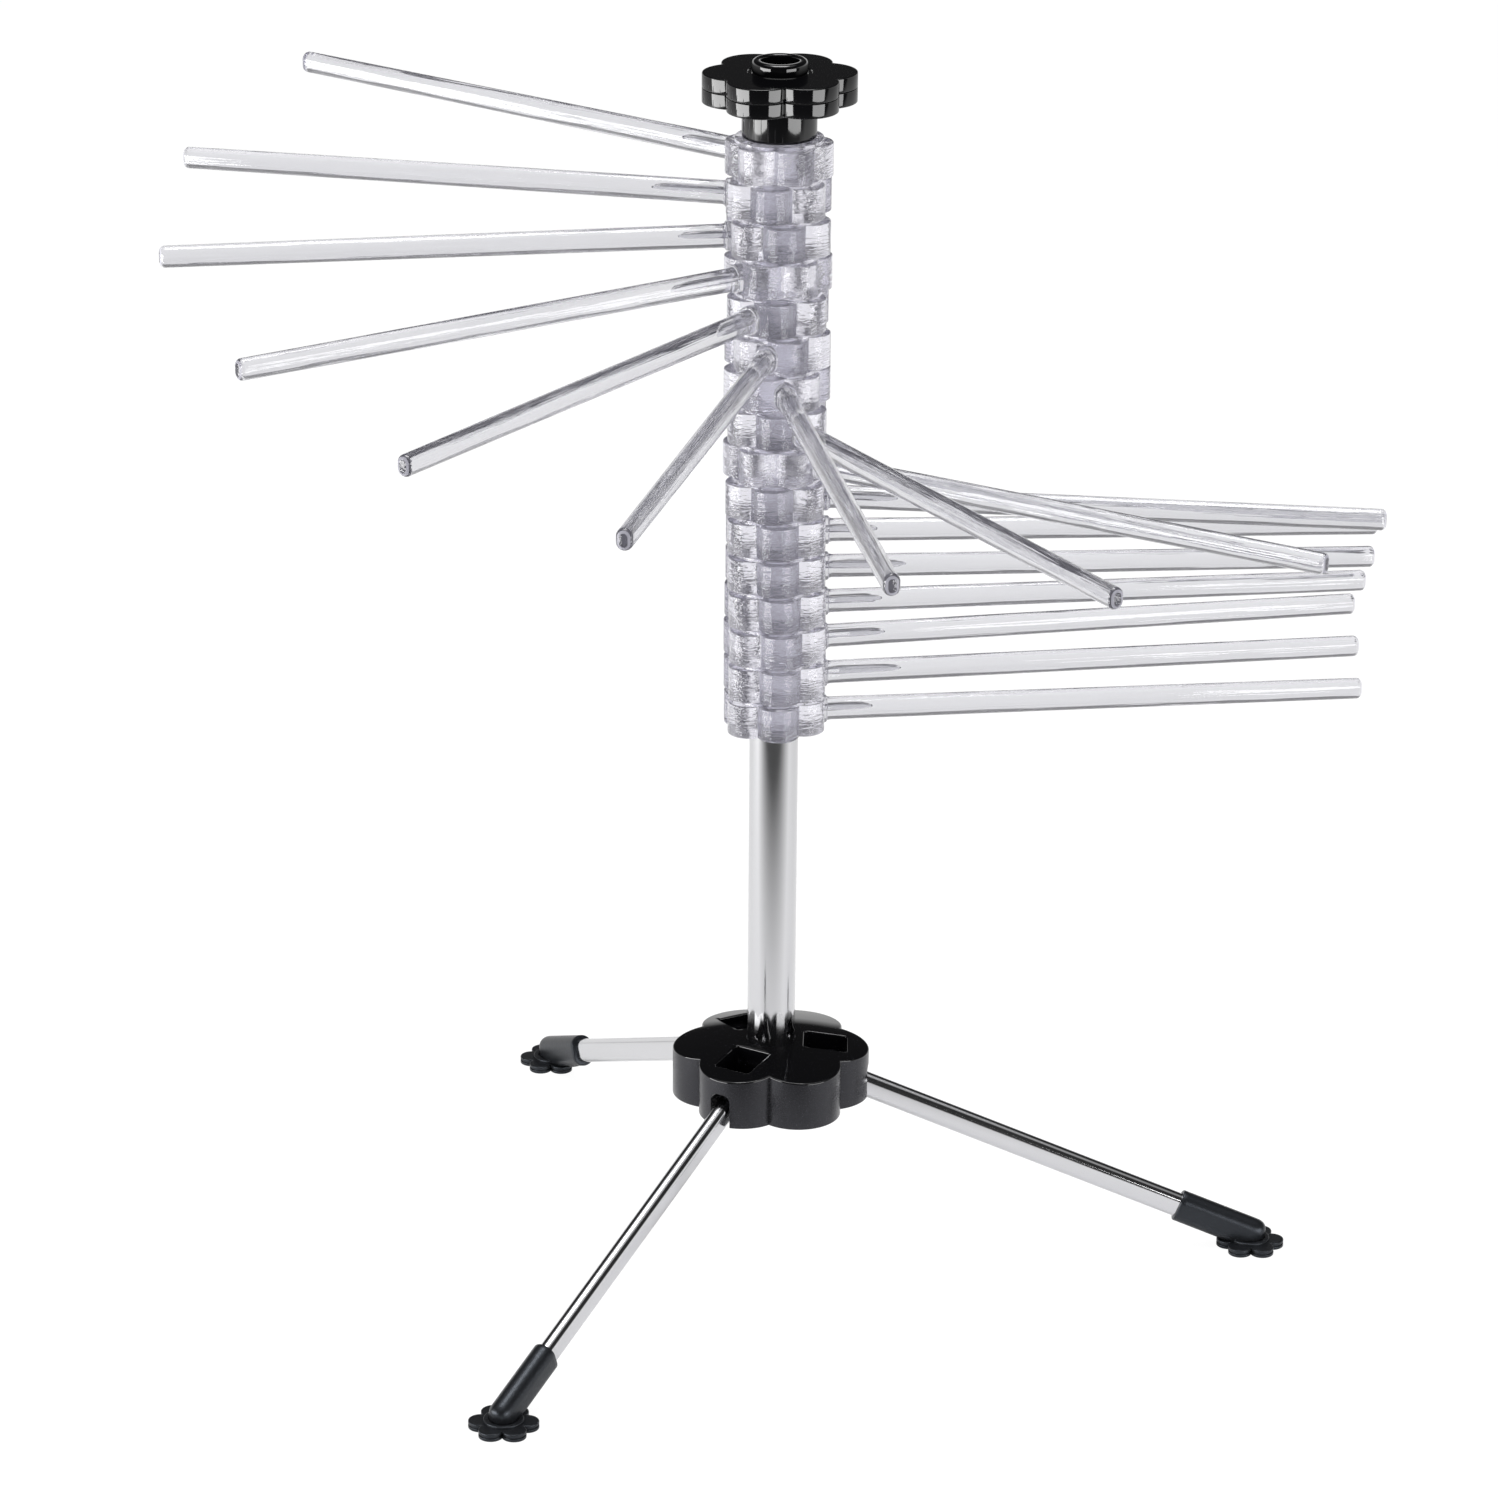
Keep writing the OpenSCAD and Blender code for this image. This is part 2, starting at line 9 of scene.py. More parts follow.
import bpy
import numpy as np
from mathutils import Matrix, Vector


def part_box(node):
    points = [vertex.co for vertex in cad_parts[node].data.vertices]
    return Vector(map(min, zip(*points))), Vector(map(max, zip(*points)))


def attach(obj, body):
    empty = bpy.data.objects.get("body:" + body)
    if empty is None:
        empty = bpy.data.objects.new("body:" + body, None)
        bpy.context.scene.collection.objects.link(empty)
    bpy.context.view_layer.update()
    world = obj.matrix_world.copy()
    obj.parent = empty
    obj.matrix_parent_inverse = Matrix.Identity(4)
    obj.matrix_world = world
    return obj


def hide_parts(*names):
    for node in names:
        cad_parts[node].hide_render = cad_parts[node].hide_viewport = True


bl_info = {
    "name": "Pasta drying rack",
    "version": (1, 0, 0),
    "blender": (4, 5, 0),
    "location": "View3D > Sidebar > Rack",
    "description": "Builds the arms, column, knob, base, legs and stage of a pasta drying rack",
    "category": "Object",
}

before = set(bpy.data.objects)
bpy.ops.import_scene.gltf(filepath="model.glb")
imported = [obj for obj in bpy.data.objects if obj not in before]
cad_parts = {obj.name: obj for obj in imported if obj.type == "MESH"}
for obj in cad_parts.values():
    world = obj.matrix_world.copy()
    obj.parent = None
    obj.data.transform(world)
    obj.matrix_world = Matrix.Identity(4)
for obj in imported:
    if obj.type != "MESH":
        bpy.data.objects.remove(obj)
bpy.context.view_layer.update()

MM = 0.001
LOBES = 6
LOBE_STEP = 2 * math.pi / LOBES
ARMS = ["arm_%02d" % i for i in range(1, 17)]
LEGS = (1, 2, 3)
# Points round an oval section, and steps along a rounded edge
OVAL_POINTS = 48
EDGE_STEPS = 4
# Distance from a rounded edge to the ring that holds the shading of the flat beside it
HOLD = 0.15 * MM
# Edges sharper than this stay sharp
CREASE = math.radians(32.0)
# Material numbers of an arm and of the base
HUB, ROD, END = 0, 1, 2
GLOSS, SATIN = 0, 1
WHITE = (1, 1, 1, 1)
# Width in pixels of the frame that the camera was fitted to, and of the sensor in mm
FRAME_PIXELS = 1498
SENSOR = 36.0


# Reading the frame


def mesh_points(mesh):
    """All vertices of a mesh as an (n, 3) array."""
    flat = np.empty(len(mesh.vertices) * 3)
    mesh.vertices.foreach_get("co", flat)
    return flat.reshape(-1, 3)


def node_points(name):
    """All vertices of a CAD node."""
    return mesh_points(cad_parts[name].data)


def reaches(points):
    """Distance of each point from the column's axis."""
    return np.hypot(points[:, 0], points[:, 1])


def far_direction(name):
    """Azimuth of a node's far end: the mean direction of its points in the outer tenth of its
    reach."""
    points = node_points(name)
    reach = reaches(points)
    far = points[reach > 0.9 * reach.max()]
    return math.atan2(far[:, 1].mean(), far[:, 0].mean())


def lobe_direction(name):
    """Azimuth of a node's lobes: the mean turn of its farthest points, folded into one step from
    lobe to lobe."""
    points = node_points(name)
    reach = reaches(points)
    tips = points[reach > reach.max() - 0.05 * MM]
    return np.angle(np.exp(1j * LOBES * np.arctan2(tips[:, 1], tips[:, 0])).mean()) / LOBES


def span(name, axis=2):
    """Lowest and highest coordinate of a node along one axis."""
    low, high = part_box(name)
    return low[axis], high[axis]


# Meshes


def turned(points, azimuth, lift=0.0):
    """The points turned about +Z by azimuth and raised by lift."""
    c, s = math.cos(azimuth), math.sin(azimuth)
    x, y, z = points[:, 0], points[:, 1], points[:, 2]
    return np.stack([c * x - s * y, s * x + c * y, z + lift], axis=1)


def grid_quads(rows, columns, close_rows=False):
    """Quads of a grid of points, row by row. Each row runs round and closes on itself, and the
    last row may join the first."""
    i = np.arange(rows if close_rows else rows - 1)
    i, j = np.meshgrid(i, np.arange(columns), indexing="ij")
    i, j = i.ravel(), j.ravel()
    ni, nj = (i + 1) % rows, (j + 1) % columns
    corners = (i * columns + j, i * columns + nj, ni * columns + nj, ni * columns + j)
    return np.stack(corners, axis=1)


def loft(rows):
    """Closed solid through rows of as many points each, with a flat face at either end, as
    points, quads and the two end polygons."""
    count = len(rows[0])
    last = (len(rows) - 1) * count
    caps = (list(range(count))[::-1], list(range(last, last + count)))
    return np.concatenate(rows), grid_quads(len(rows), count), caps


def shell(points, quads, mark=0, caps=()):
    """Points, faces and a material number for each face: quads and any end polygons, all with
    one number."""
    faces = [list(map(int, q)) for q in quads] + [list(c) for c in caps]
    return points, faces, [mark] * len(faces)


def join_parts(parts):
    """Several such shells as one, with the point numbers in the faces moved on."""
    points, faces, marks, start = [], [], [], 0
    for p, f, m in parts:
        points.append(p)
        faces += [[v + start for v in face] for face in f]
        marks += list(m)
        start += len(p)
    return np.concatenate(points), faces, marks


def shade(mesh):
    """Smooth shading, except across edges sharper than CREASE."""
    mesh.shade_smooth()
    mesh.set_sharp_from_angle(angle=CREASE)


def make_object(name, part, materials):
    """A mesh object at the origin from a shell's points, faces and material numbers."""
    points, faces, marks = part
    mesh = bpy.data.meshes.new(name)
    mesh.from_pydata(points.tolist(), [], faces)
    for material in materials:
        mesh.materials.append(material)
    mesh.polygons.foreach_set("material_index", marks)
    mesh.validate()
    shade(mesh)
    mesh.update()
    obj = bpy.data.objects.new(name, mesh)
    bpy.context.scene.collection.objects.link(obj)
    return obj


def combine(obj, other, operation):
    """Joins other to obj, or cuts it away, as exact solids, and removes other."""
    modifier = obj.modifiers.new("combine", "BOOLEAN")
    modifier.operation = operation
    modifier.solver = "EXACT"
    modifier.object = other
    graph = bpy.context.evaluated_depsgraph_get()
    mesh = bpy.data.meshes.new_from_object(obj.evaluated_get(graph))
    obj.modifiers.clear()
    obj.data = mesh
    shade(mesh)
    if not len(mesh.polygons):
        raise RuntimeError("the solids of %s left nothing when joined" % obj.name)
    bpy.data.objects.remove(other, do_unlink=True)


# Surfaces


def lobed_radius(theta, circle, lobe):
    """Outline of six round lobes: at the angle d from the nearest lobe's middle,
    circle * cos d + sqrt(lobe^2 - (circle * sin d)^2)."""
    d = (theta + LOBE_STEP / 2) % LOBE_STEP - LOBE_STEP / 2
    return circle * np.cos(d) + np.sqrt(np.maximum(lobe**2 - (circle * np.sin(d)) ** 2, 0.0))


def edge_arc(radius):
    """Inset and rise along a quarter-round edge, from the flat below it to the wall:
    radius * (1 - sin t) and radius * (1 - cos t) as t goes from 0 to a quarter turn."""
    t = np.linspace(0, math.pi / 2, EDGE_STEPS + 1)
    return list(zip(radius * (1 - np.sin(t)), radius * (1 - np.cos(t))))


def lobed_band(circle, lobe, z0, z1, edge0, edge1):
    """Rings (circle, lobe, z) of a lobed wall from z0 to z1 with rounded lower and upper edges,
    and one ring on each flat to hold its shading."""
    rings = []
    if edge0:
        rings.append((circle, lobe - edge0 - HOLD, z0))
        rings += [(circle, lobe - inset, z0 + rise) for inset, rise in edge_arc(edge0)]
    else:
        rings.append((circle, lobe, z0))
    if edge1:
        rings += [(circle, lobe - inset, z1 - rise) for inset, rise in reversed(edge_arc(edge1))]
        rings.append((circle, lobe - edge1 - HOLD, z1))
    else:
        rings.append((circle, lobe, z1))
    return rings


def round_band(radius, z0, z1, edge0, edge1):
    """The same rings for a round wall: (0, radius, z)."""
    return lobed_band(0.0, radius, z0, z1, edge0, edge1)


def round_rings(*places):
    """Plain round rings (0, radius, z) at places (radius, z)."""
    return [(0.0, radius, z) for radius, z in places]


def revolve(rings, theta):
    """Closed surface through rings (circle, lobe, z) at the angles theta: each point lies at
    lobed_radius(theta) from the axis, or at the radius lobe where circle is 0, and z is a height
    or a function of that distance. Rings run up the outside, in over the top, down the bore and
    out under the bottom."""
    rows = []
    for circle, lobe, z in rings:
        r = lobed_radius(theta, circle, lobe) if circle else np.full_like(theta, lobe)
        height = z(r) if callable(z) else np.full_like(theta, z)
        rows.append(np.stack([r * np.cos(theta), r * np.sin(theta), height], axis=1))
    return np.concatenate(rows), grid_quads(len(rings), len(theta), close_rows=True)


def around(count):
    """Angles that divide a circle evenly and meet every valley between two lobes."""
    return np.arange(count) * 2 * math.pi / count


def oval_sweep(stations, count=OVAL_POINTS):
    """Closed bar along +X through stations (x, height, width). Each section is a stadium: half
    circles of the width, above and below flat sides."""
    t = (np.arange(count) + 0.5) * 2 * math.pi / count
    rows = []
    for x, height, width in stations:
        y = width / 2 * np.cos(t)
        z = width / 2 * np.sin(t) + np.sign(np.sin(t)) * (height - width) / 2
        rows.append(np.stack([np.full(count, x), y, z], axis=1))
    return loft(rows)


def dome_stations(x_end, height, width, depth, steps=8, power=2.4):
    """Stations that close a bar with a rounded end: at the share t of the depth, the width is
    (1 - t^power)^(1/power) of the full one, and the height less by as much as the width is. The
    last is a small flat."""
    last_share = 0.995
    t = np.sin(np.linspace(0, math.pi / 2, steps + 1))[:-1]
    t = np.append(t, last_share)
    inset = (1 - (1 - t**power) ** (1 / power)) * width / 2
    return [(x_end - depth * (1 - u), height - 2 * d, width - 2 * d) for u, d in zip(t, inset)]


# Materials


def colour(code):
    """Linear RGBA from an sRGB hex code: v / 12.92 for dark values v, and
    ((v + 0.055) / 1.055)^2.4 for the others."""
    values = [int(code[i : i + 2], 16) / 255 for i in (1, 3, 5)]
    linear = [v / 12.92 if v <= 0.04045 else ((v + 0.055) / 1.055) ** 2.4 for v in values]
    return (*linear, 1.0)


def add_node(tree, kind, settings=None, links=None):
    """Adds a shader node of that kind. settings maps attributes, and sockets by number or name,
    to values; links maps sockets to the outputs of other nodes."""
    node = tree.nodes.new("ShaderNode" + kind)
    for key, value in (settings or {}).items():
        if isinstance(key, int) or key in node.inputs:
            node.inputs[key].default_value = value
        else:
            setattr(node, key, value)
    for key, output in (links or {}).items():
        tree.links.new(output, node.inputs[key])
    return node


def new_material(name):
    """An empty node material and its tree."""
    material = bpy.data.materials.new(name)
    material.use_nodes = True
    material.node_tree.nodes.clear()
    return material, material.node_tree


def surface_bump(tree, scale, strength, distance, detail=2.0, stretch=(1, 1, 1), attribute=""):
    """Fine relief: noise of that many waves a metre, stretched along the axes, on Object
    coordinates or on those that an attribute of the mesh holds. Gives the noise and the bent
    normal."""
    if attribute:
        source = add_node(tree, "Attribute", {"attribute_name": attribute})
        place = source.outputs["Vector"]
    else:
        place = add_node(tree, "TexCoord").outputs["Object"]
    mapping = add_node(tree, "Mapping", {"Scale": stretch}, {0: place})
    settings = {"Scale": scale, "Detail": detail}
    noise = add_node(tree, "TexNoise", settings, {0: mapping.outputs[0]})
    settings = {"Strength": strength, "Distance": distance}
    bump = add_node(tree, "Bump", settings, {"Height": noise.outputs["Fac"]})
    return noise.outputs["Fac"], bump.outputs["Normal"]


def clear_plastic(name, tint, roughness, relief, cloud):
    """Clear plastic with a share of cloud that scatters light in the moulding; its shadow is that
    of a thin tint."""
    material, tree = new_material(name)
    _, normal = surface_bump(tree, *relief)
    look = {"Base Color": colour(tint), "Roughness": roughness, "IOR": 1.57}
    look["Transmission Weight"] = 1.0
    glass = add_node(tree, "BsdfPrincipled", look, {"Normal": normal})
    haze = add_node(tree, "BsdfDiffuse", {"Color": colour("#D2D1DC")})
    links = {1: glass.outputs[0], 2: haze.outputs[0]}
    body = add_node(tree, "MixShader", {0: cloud}, links)
    thin = add_node(tree, "BsdfTransparent", {"Color": colour("#EEEDF4")})
    path = add_node(tree, "LightPath")
    links = {0: path.outputs["Is Shadow Ray"], 1: body.outputs[0], 2: thin.outputs[0]}
    mix = add_node(tree, "MixShader", None, links)
    add_node(tree, "OutputMaterial", None, {"Surface": mix.outputs[0]})
    return material


def solid_finish(name, look, relief, roughness=None):
    """An opaque material of that look and relief. A pair for roughness lets it follow the
    relief's noise from the one to the other."""
    material, tree = new_material(name)
    noise, normal = surface_bump(tree, *relief)
    links = {"Normal": normal}
    if roughness:
        limits = {"To Min": roughness[0], "To Max": roughness[1]}
        links["Roughness"] = add_node(tree, "MapRange", limits, {0: noise}).outputs[0]
    shader = add_node(tree, "BsdfPrincipled", look, links)
    add_node(tree, "OutputMaterial", None, {"Surface": shader.outputs[0]})
    return material


def clear_san(tint):
    """Clear SAN of the rods: polished, so the light runs straight through with dark drawn edges;
    a faint lavender grey, and flow lines 1.6 mm apart along the rod that draw fine light and
    dark streaks."""
    lines = (1 / 0.0016, 0.7, 0.0004, 2.0, (0.02, 1.0, 1.0), "mould_place")
    return clear_plastic("clear_moulded_san", tint, 0.03, lines, 0.03)


def hub_san(tint):
    """Clear SAN of the thick hubs: the same plastic with the slightly cloudy, lavender look that
    its thickness gives, and turning lines 0.9 mm apart round the bore and walls."""
    lines = (1 / 0.0009, 1.0, 0.0005, 2.0, (0.2, 0.2, 1.0), "mould_place")
    return clear_plastic("thick_clear_moulded_san", tint, 0.03, lines, 0.04)


def frosted_san(tint):
    """Clear SAN of a rod's end: the same plastic with a faintly frosted ring, as a mould's insert
    leaves it, whose 0.3 mm grain scatters the light to a lavender grey."""
    grain = (1 / 0.0003, 0.6, 0.0001)
    return clear_plastic("frosted_moulded_san", tint, 0.2, grain, 0.45)


def polished_steel(tint):
    """Polished stainless tube: a bright metal with soft reflections, and faint lines 0.9 mm apart
    round the column that blur them a little, drawn coarser than real so that they show."""
    look = {"Base Color": colour(tint), "Metallic": 1.0}
    lines = (1 / 0.0009, 0.006, 0.0001, 3.0, (0.25, 0.25, 1.0))
    return solid_finish("polished_stainless_steel", look, lines, (0.08, 0.14))


def gloss_abs(tint):
    """Black ABS from a polished mould: near-black body with mirror-like reflections, and a faint
    waviness every 9 mm that moves their edges."""
    look = {"Base Color": colour(tint), "Roughness": 0.06, "IOR": 1.6}
    return solid_finish("polished_black_abs", look, (1 / 0.009, 0.04, 0.0003))


def satin_abs(tint):
    """Black ABS from a fine-grained mould: a dark grey body with a 0.5 mm grain that breaks its
    fairly sharp, slightly cool reflections into a soft sheen."""
    look = {"Base Color": colour(tint), "IOR": 1.53, "Specular Tint": colour("#E6E6F0")}
    grain = (1 / 0.0005, 0.5, 0.00006)
    return solid_finish("fine_grained_black_abs", look, grain, (0.20, 0.32))


def moulded_rubber(tint):
    """Moulded synthetic rubber: charcoal, with a soft bluish sheen and a 0.8 mm mottle."""
    look = {"Base Color": colour(tint), "IOR": 1.5, "Specular Tint": colour("#D4DDEA")}
    mottle = (1 / 0.0008, 0.6, 0.0001, 3.0)
    return solid_finish("moulded_charcoal_rubber", look, mottle, (0.24, 0.40))


MATERIALS = {}


def material_for(key):
    """The rack's material of that key, made from the panel's colours when it is first asked
    for."""
    finish = bpy.context.scene.rack_finish
    makers = {
        "clear": (clear_san, finish.clear_tint),
        "hub": (hub_san, finish.hub_tint),
        "end": (frosted_san, finish.hub_tint),
        "steel": (polished_steel, finish.steel_tint),
        "gloss": (gloss_abs, finish.gloss_tint),
        "satin": (satin_abs, finish.satin_tint),
        "rubber": (moulded_rubber, finish.rubber_tint),
    }
    if key not in MATERIALS:
        maker, tint = makers[key]
        MATERIALS[key] = maker(tint)
    return MATERIALS[key]


# Settings


def length(name, text, default):
    """A length in metres, kept above zero."""
    return bpy.props.FloatProperty(
        name=name, description=text, default=default, min=0.0001, unit="LENGTH", precision=5
    )


def hex_code(name, text, default):
    """An sRGB hex colour."""
    return bpy.props.StringProperty(name=name, description=text, default=default)


class RackFinish(bpy.types.PropertyGroup):
    """Colours of the rack's finishes, as sRGB hex codes"""

    clear_tint: hex_code("Clear plastic", "Tint of the clear rods", "#DEDEE1")
    hub_tint: hex_code("Hub plastic", "Tint of the clear hubs and the rods' ends", "#EAE9F0")
    steel_tint: hex_code("Steel", "Colour of the polished steel", "#CFCFD1")
    gloss_tint: hex_code("Gloss black", "Colour of the knob and the base's top", "#08080A")
    satin_tint: hex_code("Satin black", "Colour of the base's walls", "#161618")
    rubber_tint: hex_code("Rubber", "Colour of the feet", "#17181A")


class RackArmSizes(bpy.types.PropertyGroup):
    """Sizes of the arms"""

    lobe_circle: length("Lobe circle", "Radius of the circle of a hub's lobes", 12 * MM)
    lobe: length("Lobe", "Radius of one lobe of a hub", 8 * MM)
    lobe_height: length("Lobe height", "Height of a hub's lobed part", 12.8 * MM)
    hub_edge: length("Hub edge", "Rounding of a hub's edges", 0.5 * MM)
    collar: length("Collar", "Radius of the collar on a hub", 16.5 * MM)
    bore: length("Bore", "Radius of a hub's bore", 9.35 * MM)
    recess: length("Recess", "Radius of the recess under a hub", 11.05 * MM)
    recess_depth: length("Recess depth", "Depth of the recess under a hub", 2.4 * MM)
    rise: length("Rod rise", "Height of a rod's centre line in its hub", 6.1 * MM)
    boss_height: length("Boss height", "Height of the boss at a rod's root", 11 * MM)
    boss_width: length("Boss width", "Width of the boss at a rod's root", 8.8 * MM)
    rod_height: length("Rod height", "Height of a rod at its root", 8.9 * MM)
    rod_width: length("Rod width", "Width of a rod at its root", 6.9 * MM)
    tip_height: length("Tip height", "Height of a rod at its tip", 8.1 * MM)
    tip_width: length("Tip width", "Width of a rod at its tip", 6.0 * MM)
    bubble: length("Bubble radius", "Radius of the long bubble in a rod's root", 1.3 * MM)
    bubble_start: length("Bubble start", "Distance from the axis to the bubble", 15 * MM)
    bubble_end: length("Bubble end", "Distance from the axis to the bubble's end", 45 * MM)


class RackKnobSizes(bpy.types.PropertyGroup):
    """Sizes of the knob"""

    lobe_circle: length("Lobe circle", "Radius of the circle of the knob's lobes", 16 * MM)
    lobe: length("Lobe", "Radius of one lobe of the knob", 12.5 * MM)
    edge: length("Edge", "Rounding of the rim's edges", 0.35 * MM)
    neck: length("Neck", "Radius of the neck", 13.85 * MM)
    neck_height: length("Neck height", "Height of the neck", 12.9 * MM)
    low_height: length("Lower half", "Height of the rim's lower half", 5.6 * MM)
    high_height: length("Upper half", "Height of the rim's upper half", 5.5 * MM)
    boss: length("Boss", "Radius of the boss", 10.2 * MM)
    boss_edge: length("Boss edge", "Rounding of the boss's rim", 1.3 * MM)
    hole: length("Hole", "Radius of the boss's hole", 7 * MM)
    spigot: length("Spigot", "Radius of the spigot between the halves", 9 * MM)
    groove: length("Groove", "Outer radius of the groove round the boss", 12.0 * MM)


class RackBaseSizes(bpy.types.PropertyGroup):
    """Sizes of the base"""

    lobe_circle: length("Lobe circle", "Radius of the circle of the base's lobes", 21.5 * MM)
    lobe: length("Lobe", "Radius of one lobe of the base", 16.5 * MM)
    crown: length("Crown", "Rise of the domed top", 4.4 * MM)
    edge: length("Edge", "Rounding between the wall and the top", 0.5 * MM)
    socket: length("Socket", "Radius of the column's socket", 9.3 * MM)
    socket_depth: length("Socket depth", "Depth of the column's socket", 15 * MM)
    pocket_in: length("Pocket start", "Distance from the axis to a pocket", 12.75 * MM)
    pocket_out: length("Pocket end", "Distance from the axis to its far wall", 29.45 * MM)
    pocket_width: length("Pocket width", "Width of a pocket", 15 * MM)
    pocket_corner: length("Pocket corner", "Radius of a pocket's corners", 1.2 * MM)
    slot_width: length("Slot width", "Width of the slot for a leg", 8.4 * MM)
    slot_height: length("Slot height", "Height of the slot above the underside", 13.4 * MM)
    slot_corner: length("Slot corner", "Radius of the slot's upper corners", 3 * MM)


class RackLegSizes(bpy.types.PropertyGroup):
    """Sizes of the legs and feet"""

    height: length("Tube height", "Height of the leg's oval tube", 9.8 * MM)
    width: length("Tube width", "Width of the leg's oval tube", 6.2 * MM)
    pivot_reach: length("Pivot", "Distance from the axis to a leg's pivot", 22.95 * MM)
    pivot_height: length("Pivot height", "Height of a leg's pivot above the floor", 72.2 * MM)
    foot_reach: length("Foot circle", "Radius of the circle of the feet", 188.3 * MM)
    foot_joint: length("Foot joint", "Height at which a leg meets its foot", 5.2 * MM)
    tube_start: length("Tube start", "Distance from the pivot to the tube", 6.5 * MM)
    sleeve: length("Sleeve", "Length of the sleeve on a leg", 31 * MM)
    sleeve_wall: length("Sleeve wall", "Wall of the sleeve", 1.5 * MM)
    toe: length("Toe", "Length of the sleeve's solid end", 6 * MM)
    petal_circle: length("Petal circle", "Radius of the circle of a foot's petals", 8.5 * MM)
    petal: length("Petal", "Radius of one petal of a foot", 4.6 * MM)
    disc: length("Disc", "Thickness of a foot's disc", 3 * MM)
    ring: length("Ring", "Radius of the raised ring on a foot", 7.5 * MM)
    ring_height: length("Ring height", "Height of the raised ring", 0.9 * MM)


# Arms


def hub_rings(size, height):
    """Rings of a hub: the lobed wall, the collar above it, the bore and the recess underneath."""
    lip, chamfer, step = 0.3 * MM, 0.2 * MM, 0.1 * MM
    top, edge = size.lobe_height, size.hub_edge
    rings = lobed_band(size.lobe_circle, size.lobe, 0.0, top, edge, edge)
    rings += round_band(size.collar, top, height, 0.0, lip)
    return rings + round_rings(
        (size.bore + lip + HOLD, height),
        (size.bore + lip, height),
        (size.bore, height - lip),
        (size.bore, size.recess_depth + step),
        (size.bore, size.recess_depth),
        (size.recess, size.recess_depth),
        (size.recess, chamfer),
        (size.recess + chamfer, 0.0),
        (size.recess + chamfer + HOLD, 0.0),
    )


def rod_stations(size, reach):
    """Stations of a rod: a boss with a rounded front, then an oval bar that tapers evenly from
    the hub's rim to the tip, and a domed end."""
    root = size.lobe_circle + size.lobe
    core, front, fillet, dome = size.recess + 2 * MM, 0.8 * MM, 0.3 * MM, 2.2 * MM
    taper_start, taper_end = root + 1.2 * MM, reach - 6 * MM
    stations = [(core, size.boss_height, size.boss_width)]
    for t in np.linspace(0, math.pi / 2, 6):
        less = 2 * front * (1 - math.cos(t))
        x = root - front * (1 - math.sin(t))
        stations.append((x, size.boss_height - less, size.boss_width - less))
    stations.append((root + 0.4 * MM, size.rod_height + fillet, size.rod_width + fillet))
    for x in np.linspace(taper_start, taper_end, 24):
        share = (x - root) / (reach - root)
        height = size.rod_height + (size.tip_height - size.rod_height) * share
        width = size.rod_width + (size.tip_width - size.rod_width) * share
        stations.append((x, height, width))
    return stations + dome_stations(reach, size.tip_height, size.tip_width, dome)


def bubble_stations(size):
    """Stations of the long bubble that the thick root of a rod draws as it cools: at the share t
    of its half length, its girth is sqrt(1 - |t|^3) of the full one. It ends in small flats."""
    t = np.sin(np.linspace(-1, 1, 25) * math.pi / 2) * 0.998
    girth = 2 * size.bubble * (1 - np.abs(t) ** 3) ** 0.5
    x = size.bubble_start + (t + 1) / 2 * (size.bubble_end - size.bubble_start)
    return list(zip(x, girth, girth))


def arm_template(size, reach):
    """One arm at the origin along +X: the hub joined to its boss and rod, less the bubble."""
    low, high = span(ARMS[0])
    points, quads = revolve(hub_rings(size, high - low), around(192))
    finishes = [material_for(key) for key in ("hub", "clear", "end")]
    # the lobes stand half a step from the rod, which leaves from a valley
    hub = shell(turned(points, LOBE_STEP / 2), quads, HUB)
    body = make_object("arm_work", hub, finishes)
    points, quads, caps = oval_sweep(rod_stations(size, reach))
    points[:, 2] += size.rise
    points, faces, marks = shell(points, quads, ROD, caps)
    # a frosted ring on the domed end: two rows of faces, with two more between it and the flat
    ring = 2 * OVAL_POINTS
    ring_end = len(quads) - 2 * OVAL_POINTS
    marks[ring_end - ring : ring_end] = [END] * ring
    combine(body, make_object("arm_rod_work", (points, faces, marks), finishes), "UNION")
    points, quads, caps = oval_sweep(bubble_stations(size), OVAL_POINTS // 2)
    bubble_lift = 0.5 * MM
    points[:, 2] += size.rise + bubble_lift
    bubble = make_object("arm_bubble_work", shell(points, quads, ROD, caps), finishes)
    combine(body, bubble, "DIFFERENCE")
    return body


class RACK_OT_arms(bpy.types.Operator):
    """Builds the sixteen clear arms, each a lobed hub and an oval rod in one moulding"""

    bl_idname = "rack.arms"
    bl_label = "Arms"

    def execute(self, context):
        size = context.scene.rack_arms
        work = arm_template(size, float(reaches(node_points(ARMS[0])).max()))
        mesh = work.data
        points = mesh_points(mesh)
        near, pattern_shift = 2.2 * MM, 0.037
        middle, swing, pace = 0.95, 0.2, 2.4
        # between these two distances only the bubble's points lie near the rod's centre line
        inside = np.hypot(points[:, 1], points[:, 2] - size.rise) < near
        inside &= points[:, 0] > size.bubble_start - MM
        inside &= points[:, 0] < size.bubble_end + MM
        for number, name in enumerate(ARMS):
            copy = mesh.copy()
            copy.name = name + "_moulding"
            own = points.copy()
            # the bubbles differ in length from arm to arm
            stretch = middle + swing * math.sin(pace * number)
            own[inside, 0] = size.bubble_start + (own[inside, 0] - size.bubble_start) * stretch
            placed = turned(own, far_direction(name), span(name)[0])
            # the material's lines follow the moulding, shifted so that no two arms are alike
            place = copy.attributes.new("mould_place", "FLOAT_VECTOR", "POINT")
            place.data.foreach_set("vector", (own + number * pattern_shift).ravel())
            copy.vertices.foreach_set("co", placed.ravel())
            copy.update()
            arm = bpy.data.objects.new(name + "_moulding", copy)
            context.scene.collection.objects.link(arm)
            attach(arm, name)
            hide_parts(name)
        bpy.data.objects.remove(work, do_unlink=True)
        return {"FINISHED"}


# Column and knob


